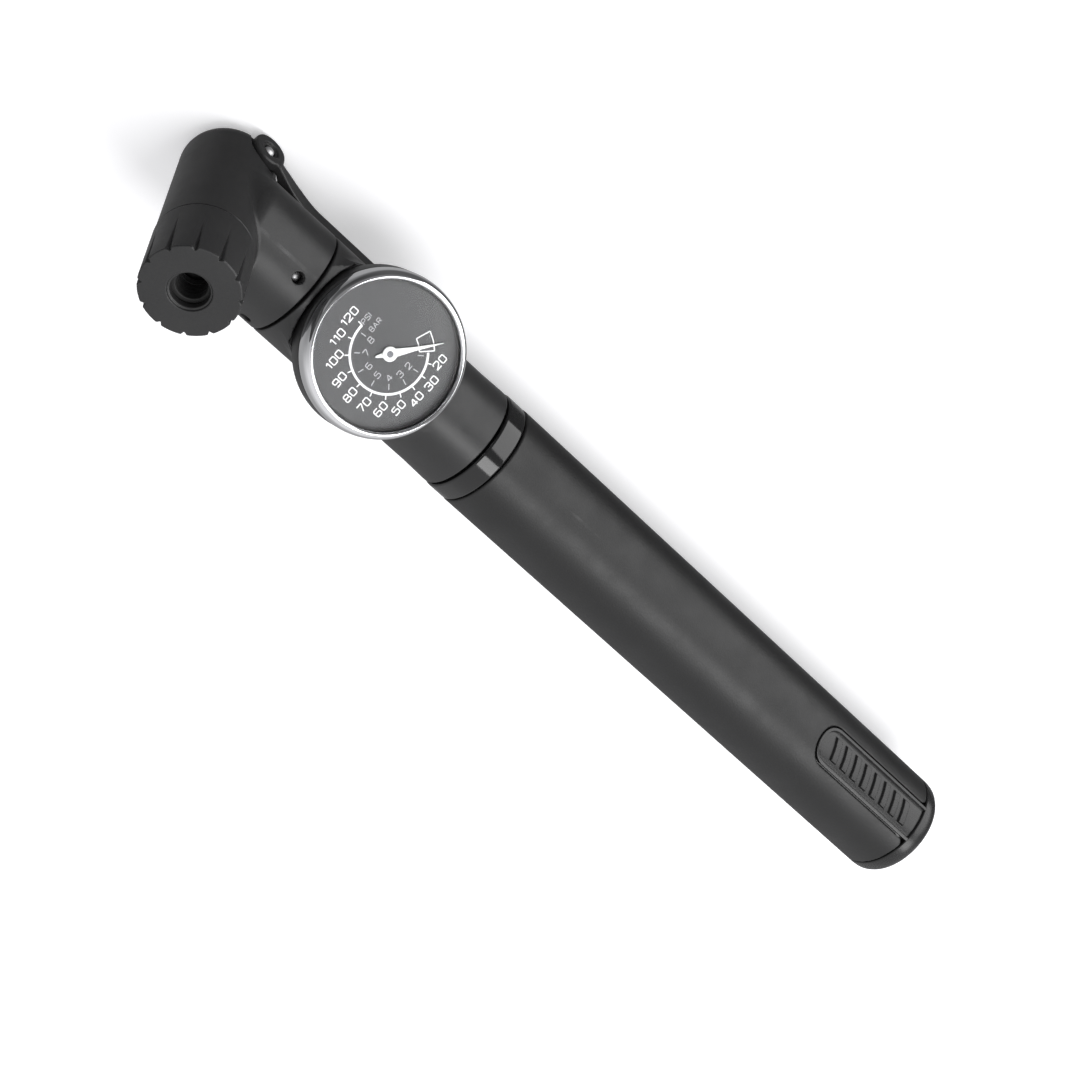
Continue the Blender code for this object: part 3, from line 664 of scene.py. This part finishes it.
def build_head():
    piece("head_shell", moulded("head_shell", head_field, spaced(-11.0, 23.8, 0.33),
                                spaced(-13.8, 13.8, 0.33), spaced(-20.9, 24.0, 0.33)),
          NOZZLE, "pump", SATIN, ["head_body"])
    piece("screw_cap", moulded("screw_cap", cap_field, spaced(-11.2, 11.2, 0.25),
                               spaced(-11.2, 11.2, 0.25), spaced(15.8, 32.8, 0.25)),
          NOZZLE, "nozzle", SATIN, ["nozzle_cap"])
    piece("lever_blade", moulded("lever_blade", lever_field, spaced(-4.3, 57.6, 0.3),
                                 spaced(-11.9, 11.9, 0.3), spaced(-4.3, 4.3, 0.25)),
          LEVER, "lever", SATIN, ["thumb_lever"])
    seal = [(3.4, 30.2), (6.0, 30.2), (6.9, 29.2), (6.9, 26.0), (6.0, 25.0), (3.4, 25.0),
            (3.55, 26.4), (3.4, 27.0), (3.55, 27.6), (3.4, 28.4), (3.55, 29.2)]
    piece("valve_grommet", lathe("valve_grommet", soften(seal, 0.35, True), 96, True),
          NOZZLE, "nozzle_seal", RUBBER, ["grommet"])
    dome = [(0.0, 11.85), (0.5, 11.8), (0.9, 11.62), (1.2, 11.3), (1.35, 10.8)]
    pin = dome + [(r, -h) for r, h in reversed(dome)]
    piece("hinge_pin", lathe("hinge_pin", pin, 48), LEVER_PIN, "lever",
          PEENED, ["lever_pin"])
    for name, turn in zip(("neck_pin_a", "neck_pin_b"), NECK_PIN_TURNS):
        axes = Matrix.Translation((NECK_PIN_X, 0, 0)) @ Matrix.Rotation(-turn, 4, "X")
        roll = [(0.0, 11.5), (0.5, 11.4), (0.95, 11.05), (1.25, 10.5), (1.25, 6.3),
                (0.0, 6.3)]
        piece(name + "_roll", lathe(name + "_roll", roll, 48), axes,
              "pump", PEENED, [name])


# ----------------------------------------------------------------------- body

def body_field(points):
    """Barrel holder with the gauge's pod blended into its side."""
    x, y, z = split(points)
    off = np.hypot(y, z)
    radius = np.interp(x, [0.0, 50.0, 64.0, 72.0, 78.4, 90.0],
                       [NECK_R, NECK_R, 13.4, 13.4, 13.6, 13.6])
    form = between(x, BODY_START, BODY_END, 0.3)
    form = meet(form, off - radius, 0.35)
    gx = x - GAUGE_X
    gy = y * cos(GAUGE_TURN) - z * sin(GAUGE_TURN)
    gz = y * sin(GAUGE_TURN) + z * cos(GAUGE_TURN)
    out = np.hypot(gx, gy)
    pod = np.interp(gz, [-3.0, 1.0, 3.6, 6.6, GAUGE_SEAT], [8.4, 11.0, 14.0, 17.0, 18.6])
    pod = np.maximum((out - pod) * 0.7, np.maximum(gz - 9.5, -2.0 - gz))
    form = join(form, pod, 3.0)
    form = meet(form, off - 24.0, 0.2)
    form = np.minimum(form, meet(off - 10.0, 15.3 - x, 0.2) + np.maximum(x - 30.0, 0))
    form = carve(form, meet(GAUGE_SEAT - gz, out - CASE_R - 0.5, 0.2), 0.3)
    form = carve(form, meet(off - 9.6, 64.9 - x, 0.2), 0.3)
    form = carve(form, np.maximum(off - 3.0, np.abs(x - 40.0) - 30.0), 0.2)
    stem = np.hypot(gx + 12.0, gy) - 2.3
    form = carve(form, np.maximum(stem, 1.0 - gz), 0.1)
    return neck_holes(form, x, y, z)


def build_body():
    piece("body_shell", moulded("body_shell", body_field, spaced(15.3, 79.6, 0.40),
                                spaced(-13.8, 21.5, 0.40), spaced(-13.8, 21.5, 0.40)),
          NOZZLE, "pump", SATIN, ["pump_body"])
    inner = BARREL_R - 0.9
    tube = [(inner, BARREL_END), (BARREL_R, BARREL_END), (BARREL_R, BARREL_START),
            (inner, BARREL_START)]
    piece("barrel", lathe("barrel", soften(tube, 0.15, True), 128, True), PUMP, "pump",
          DRAWN, ["barrel_tube"])


# ---------------------------------------------------------------------- gauge

def build_gauge():
    low = 9.1
    case = [(0.0, 11.2), (16.0, 11.2), (16.0, 16.1), (17.2, 16.1), (17.2, 17.6),
            (17.8, 17.6), (17.8, 14.6), (CASE_R, 14.6), (CASE_R, low + 0.5),
            (CASE_R - 0.5, low), (0.0, low)]
    piece("gauge_cup", lathe("gauge_cup", soften(case, 0.2), 192), GAUGE, "pump",
          SATIN, ["gauge_case"])
    bezel = [(17.05, 18.9), (17.05, 19.15), (17.3, 19.5), (17.6, 19.6), (18.0, 19.45),
             (18.5, 18.9), (18.9, 17.9), (19.12, 16.7), (CASE_R, 15.6), (CASE_R, 14.9),
             (18.1, 14.9), (18.1, 18.9)]
    piece("chrome_bezel", lathe("chrome_bezel", soften(bezel, 0.45, True, 5), 256, True, 60.0),
          GAUGE, "pump", CHROME, ["bezel"])
    dome = [(0.0, 19.0)] + [(17.75 * k / 10, 19.0 - 0.45 * (k / 10) ** 2)
                            for k in range(1, 11)]
    cover = dome + [(17.75, 18.0), (0.0, 18.0)]
    piece("cover_lens", lathe("cover_lens", cover, 160, False, 50.0), GAUGE, "pump",
          COVER, ["lens"])
    gasket = [(16.6, 17.65), (16.9, 17.65), (16.9, 17.3), (16.6, 17.3)]
    piece("gasket_ring", lathe("gasket_ring", soften(gasket, 0.1, True), 160, True), GAUGE,
          "pump", RUBBER, ["lens_gasket"])


# The dial's print: heights of the ink, a glyph's height over its width, the scale's arc
# and the length of its ticks
INK_LOW, INK_HIGH = DIAL_TOP - 0.02, DIAL_TOP + 0.035
TALL = 1.25
ARC_R = 9.1
TICK = 1.2

# Each glyph's width and its strokes, as (points, closed)
GLYPHS = {
    "0": (1.0, [([(0, 0), (1, 0), (1, TALL), (0, TALL)], True)]),
    "1": (0.5, [([(0, TALL - 0.32), (0.42, TALL), (0.42, 0)], False)]),
    "2": (1.0, [([(0, 0.92), (0, TALL), (1, TALL), (1, 0.66), (0, 0.04), (0, 0), (1, 0)],
                 False)]),
    "3": (1.0, [([(0, 1.0), (0, TALL), (1, TALL), (1, 0.65), (0.35, 0.65)], False),
                ([(0.35, 0.65), (1, 0.65), (1, 0), (0, 0), (0, 0.25)], False)]),
    "4": (1.0, [([(0.76, 0), (0.76, TALL), (0, 0.36), (0, 0.3), (1.05, 0.3)], False)]),
    "5": (1.0, [([(0.95, TALL), (0.06, TALL), (0, 0.74), (1, 0.74), (1, 0), (0, 0),
                  (0, 0.22)], False)]),
    "6": (1.0, [([(0.95, TALL), (0, TALL), (0, 0), (1, 0), (1, 0.70), (0.02, 0.70)], False)]),
    "7": (1.0, [([(0, TALL), (1, TALL), (1, 1.05), (0.4, 0)], False)]),
    "8": (1.0, [([(0, 0), (1, 0), (1, 0.64), (0, 0.64)], True),
                ([(0.06, 0.64), (0.94, 0.64), (0.94, TALL), (0.06, TALL)], True)]),
    "9": (1.0, [([(0.05, 0), (1, 0), (1, TALL), (0, TALL), (0, 0.55), (0.98, 0.55)],
                 False)]),
    "P": (0.9, [([(0, 0), (0, TALL), (0.9, TALL), (0.9, 0.5), (0, 0.5)], False)]),
    "S": (0.9, [([(0.9, 1.02), (0.9, TALL), (0, TALL), (0, 0.64), (0.9, 0.64), (0.9, 0),
                  (0, 0), (0, 0.23)], False)]),
    "I": (0.0, [([(0, 0), (0, TALL)], False)]),
    "B": (0.9, [([(0, 0), (0.9, 0), (0.9, 0.64), (0, 0.64)], True),
                ([(0, 0.64), (0.84, 0.64), (0.84, TALL), (0, TALL)], True)]),
    "A": (1.0, [([(0, 0), (0.5, TALL), (1, 0)], False), ([(0.2, 0.4), (0.8, 0.4)], False)]),
    "R": (0.9, [([(0, 0), (0, TALL), (0.9, TALL), (0.9, 0.55), (0, 0.55)], False),
                ([(0.4, 0.55), (0.9, 0)], False)]),
}


def lettering(text, centre, size, half):
    """Strokes of a short text on the dial. It reads along +Y, with its top to -X."""
    space = 0.42
    widths = [GLYPHS[c][0] for c in text]
    start = -(sum(widths) + space * (len(text) - 1)) / 2
    parts = []
    for c, width in zip(text, widths):
        for line, closed in GLYPHS[c][1]:
            line = soften(line, 0.30, closed, 5)
            moved = []
            for u, v in line:
                moved.append((centre[0] - (v - TALL / 2) * size,
                              centre[1] + (u + start) * size))
            parts.append(ribbon(moved, half, INK_LOW, INK_HIGH, closed))
        start += width + space
    return parts


def polar(radius, angle):
    """A point on the dial about the needle's shaft."""
    return (HUB[0] + radius * cos(angle), HUB[1] + radius * sin(angle))


def psi_angle(value):
    """Where a pressure stands on the dial: the scale opens a little as it rises."""
    tens = value / 10 - 2
    return radians(26.5 - 18.7 * tens - 0.235 * tens * tens)


def number_place(value):
    """Where a number stands: near its tick, drawn toward the dial's left and right."""
    tens = value / 10 - 2
    angle = radians(31.0 - 21.2 * tens - 4.8 * sin(radians(36.0 * tens)))
    return polar(12.1 + 0.1 * min(tens, 5), angle)


def build_print():
    """The pressure scale in two units, with its numbers and a small frame."""
    bold, fine = [], []
    first, last = radians(41.5), psi_angle(120)
    turns = [first + (last - first) * i / 120 for i in range(121)]
    bold.append(ribbon([polar(ARC_R, a) for a in turns], 0.28, INK_LOW, INK_HIGH))
    for value in range(20, 130, 10):
        a = psi_angle(value)
        bold.append(ribbon([polar(ARC_R, a), polar(ARC_R + TICK, a)], 0.14, INK_LOW, INK_HIGH))
        bold += lettering(str(value), number_place(value), 1.34, 0.145)
    for value in range(1, 9):
        a = psi_angle(value * 14.5)
        fine.append(ribbon([polar(6.75, a), polar(8.1, a)], 0.11, INK_LOW, INK_HIGH))
        if value > 1:
            fine += lettering(str(value), polar(5.35, a), 1.1, 0.10)
    fine += lettering("PSI", polar(9.6, radians(166.0)), 0.95, 0.08)
    fine += lettering("BAR", polar(7.3, radians(158.5)), 0.92, 0.08)
    sides = [radians(a) for a in (43.5, 56.0, 68.5)]
    box = [polar(10.6, a) for a in sides] + [polar(7.05, a) for a in reversed(sides)]
    bold.append(ribbon(soften(box, 0.2, True), 0.14, INK_LOW, INK_HIGH, True))
    piece("dial_print", gather("dial_print", bold), GAUGE, "pump", INK, ())
    piece("dial_fine_print", gather("dial_fine_print", fine), GAUGE, "pump", FAINT_INK, ())


def build_needle():
    """White pointer with its hub and the end of its shaft."""
    low, high = 17.3, 17.58
    blade = [(-3.4, -0.08), (-3.1, -0.26), (-1.2, -0.60), (0.0, -0.95), (1.6, -0.90),
             (5.8, -0.46), (9.0, -0.28), (12.6, -0.08), (12.8, 0.0)]
    outline = blade + [(x, -y) for x, y in reversed(blade[:-1])]
    c, s = cos(NEEDLE_REST), sin(NEEDLE_REST)
    turned = [(x * c - y * s, x * s + y * c) for x, y in outline]
    mesh = gather("needle_blade", [slab(turned, low, high, 0.05)])
    piece("needle_blade", mesh, NEEDLE, "pointer", WHITE_PAINT, ["needle"])
    hub = [(0.75, 17.80), (1.6, 17.80), (1.72, 17.70), (1.72, 17.35), (0.75, 17.35)]
    piece("needle_hub", lathe("needle_hub", soften(hub, 0.12, True), 64, True), NEEDLE,
          "pointer", WHITE_PAINT, ())
    stub = [(0.0, 17.74), (0.74, 17.74), (0.74, 17.30), (0.0, 17.30)]
    piece("needle_stub", lathe("needle_stub", soften(stub, 0.1), 48), NEEDLE, "pointer",
          BLUED, ())


# --------------------------------------------------------------------- handle

def window(x, v, w, grow):
    """The badge's stadium-ended slot, as a field through one side of the handle."""
    half = BADGE_HALF + grow
    past = np.minimum(x - (BADGE_START + BADGE_HALF), 0)
    return np.maximum(np.hypot(past, v) - half, 8.0 - w)


def sleeve_field(points):
    """Grip sleeve, a little wider toward its end, with the badge's slot."""
    x, v, w = split(points)
    off = np.hypot(v, w)
    radius = 13.88 + 0.12 * (x - SLEEVE_START) / (SLEEVE_END - SLEEVE_START)
    form = meet(off - radius, SLEEVE_START - x, 0.45)
    form = carve(form, off - SLEEVE_BORE, 0.2)
    gone = join(window(x, v, w, 0.14), SLEEVE_END - x, 1.6)
    return carve(form, gone, 0.35)


def step_up(depth):
    """A soft step from 0 to 1 where a depth passes zero."""
    share = np.clip(depth / 0.22 + 0.5, 0, 1)
    return share * share * (3 - 2 * share)


def badge_field(points):
    """Tongue of the end cap: raised border, groove and a row of slanted bars."""
    x, v, w = split(points)
    off = np.hypot(v, w)
    across = np.arctan2(v, w) * 14.0
    past = np.minimum(x - (BADGE_START + BADGE_HALF), 0)
    depth = BADGE_HALF - np.hypot(past, across)
    border = step_up(np.minimum(depth - 0.05, 1.05 - depth))
    lean = x + across * 0.30
    pitch = 3.9
    shift = lean - 220.5
    bar = np.abs(shift - pitch * np.clip(np.round(shift / pitch), -4, 3)) - 1.05
    bars = step_up(-0.5 * np.maximum(bar, np.abs(across) - 2.9))
    top = 13.35 + 0.75 * border + 0.65 * bars
    form = meet(off - top, -depth, 0.3)
    form = np.minimum(form, np.maximum(off - 12.2, -1.3 - depth))
    form = np.maximum(form, 11.4 - off)
    return np.maximum(np.maximum(form, 5.0 - w), x - 237.8)


def build_handle():
    """Sleeve, badge, cap and collar ring. The grid is fine only round the badge."""
    xs = graded([85.0, 88.0, 196.0, 239.0], [0.35, 2.4, 0.3])
    ys = graded([-14.8, -6.6, 6.6, 14.8], [0.6, 0.24, 0.6])
    zs = graded([-14.8, 11.0, 14.8], [0.6, 0.24])
    piece("grip_sleeve", moulded("grip_sleeve", sleeve_field, xs, ys, zs),
          BADGE, "handle", GRAIN, ["handle_sleeve"])
    piece("badge_tongue", moulded("badge_tongue", badge_field, spaced(197.1, 237.8, 0.18),
                                  spaced(-6.4, 6.4, 0.18), spaced(9.2, 14.3, 0.18)),
          BADGE, "handle", BADGE_BLACK, ())
    cap = [(0.0, PUMP_END), (11.5, PUMP_END), (13.0, 242.3), (13.8, 241.0), (14.0, 239.6),
           (14.0, 237.6), (12.1, 237.6), (12.1, 227.5), (3.3, 227.5), (3.3, 237.0), (0.0, 237.0)]
    piece("cap_end", lathe("cap_end", soften(cap, 0.5), 192), PUMP, "handle", BADGE_BLACK,
          ["end_cap"])
    ring = [(9.9, RING_END), (13.6, RING_END), (13.8, RING_END - 0.4),
            (13.8, RING_START + 0.4), (13.5, RING_START), (9.9, RING_START)]
    piece("gloss_ring", lathe("gloss_ring", soften(ring, 0.2, True), 192, True), PUMP,
          "handle", GLOSS, ["collar_ring"])


build_head()
build_body()
build_gauge()
build_print()
build_needle()
build_handle()


# --------------------------------------------------------------- studio stage

def floor_material(name, tone):
    """Pale and dull, with a glow that keeps it from falling to grey."""
    s = Shade(name)
    s.put("Base Color", s.blend(s.span(s.noise(3.0, 4.0), 0.3, 0.7), grey(tone * 0.985),
                                grey(tone)))
    s.put("Roughness", 0.9)
    s.put("Emission Color", (1.0, 1.0, 1.0, 1.0))
    s.put("Emission Strength", 0.35)
    return s.material


def build_floor():
    """A plain floor, in metres, left out of reflections."""
    half = 6.0
    mesh = bpy.data.meshes.new("floor")
    mesh.from_pydata([(-half, -half, 0), (half, -half, 0), (half, half, 0), (-half, half, 0)],
                     [], [(0, 1, 2, 3)])
    floor = bpy.data.objects.new("floor", mesh)
    mesh.materials.append(floor_material("pale_floor", 0.90))
    bpy.context.scene.collection.objects.link(floor)
    floor.visible_glossy = False


def softbox(name, toward, distance, wide, tall, power):
    """A rectangular lamp that faces the pump, with its long side along the pump."""
    back = Vector(toward).normalized()
    side = (Vector((1, 0, 0)) - back * back.x).normalized()
    lamp = bpy.data.lights.new(name, "AREA")
    lamp.shape = "RECTANGLE"
    lamp.size, lamp.size_y = wide, tall
    lamp.energy = power
    made = bpy.data.objects.new(name, lamp)
    turn = Matrix((side, back.cross(side), back)).transposed()
    made.matrix_world = Matrix.Translation(back * distance) @ turn.to_4x4()
    made.visible_camera = False
    bpy.context.scene.collection.objects.link(made)


def build_world():
    """A bright room behind the pump, dark on the lamps' side and below, and a plain pale
    backdrop where the room itself would be seen."""
    world = bpy.data.worlds.new("studio")
    bpy.context.scene.world = world
    world.use_nodes = True
    tree = world.node_tree
    sky = tree.nodes["Background"]
    where = tree.nodes.new("ShaderNodeTexCoord")
    parts = tree.nodes.new("ShaderNodeSeparateXYZ")
    tree.links.new(where.outputs["Generated"], parts.inputs["Vector"])
    shares = []
    for axis, limits in (("Z", (-0.45, 0.40, 0.45, 1.0)), ("Y", (-0.02, 0.30, 1.0, 0.28)),
                         ("X", (-0.85, -0.35, 0.50, 1.0))):
        share = tree.nodes.new("ShaderNodeMapRange")
        share.interpolation_type = "SMOOTHSTEP"
        for key, value in zip(("From Min", "From Max", "To Min", "To Max"), limits):
            share.inputs[key].default_value = value
        tree.links.new(parts.outputs[axis], share.inputs["Value"])
        shares.append(share.outputs["Result"])
    strength = shares[0]
    for other in shares[1:]:
        both = tree.nodes.new("ShaderNodeMath")
        both.operation = "MULTIPLY"
        tree.links.new(strength, both.inputs[0])
        tree.links.new(other, both.inputs[1])
        strength = both.outputs["Value"]
    tree.links.new(strength, sky.inputs["Strength"])
    sky.inputs["Color"].default_value = (0.82, 0.82, 0.83, 1.0)
    backdrop = tree.nodes.new("ShaderNodeBackground")
    path = tree.nodes.new("ShaderNodeLightPath")
    mix = tree.nodes.new("ShaderNodeMixShader")
    tree.links.new(path.outputs["Is Camera Ray"], mix.inputs["Fac"])
    tree.links.new(sky.outputs["Background"], mix.inputs[1])
    tree.links.new(backdrop.outputs["Background"], mix.inputs[2])
    tree.links.new(mix.outputs["Shader"], tree.nodes["World Output"].inputs["Surface"])
    backdrop.inputs["Color"].default_value = (0.97, 0.97, 0.97, 1.0)


def build_camera():
    """The camera stands off the nozzle's side and looks down along the handle."""
    around, above, roll = radians(132.8), radians(51.63), radians(-174.04)
    aim, distance = Vector((111.7, -7.0, 0.0)), 599.7
    camera = bpy.data.cameras.new("camera")
    camera.sensor_width = 36.0
    camera.lens = 84.27
    camera.clip_start, camera.clip_end = 0.01, 50.0
    made = bpy.data.objects.new("camera", camera)
    turn = (Matrix.Rotation(around + pi / 2, 4, "Z") @ Matrix.Rotation(pi / 2 - above, 4, "X")
            @ Matrix.Rotation(roll, 4, "Z"))
    spot = aim + turn.to_3x3() @ Vector((0, 0, distance))
    made.matrix_world = Matrix.Translation(ORIGIN + spot * MM) @ turn
    bpy.context.scene.collection.objects.link(made)
    bpy.context.scene.camera = made


build_floor()
softbox("side_box", (0.45, 0.88, 0.14), distance=1.3, wide=1.15, tall=1.65, power=16.5)
softbox("top_box", (0.38, 0.27, 0.88), distance=1.3, wide=1.3, tall=0.50, power=11.5)
build_world()
build_camera()
bpy.context.scene.view_settings.view_transform = "Standard"
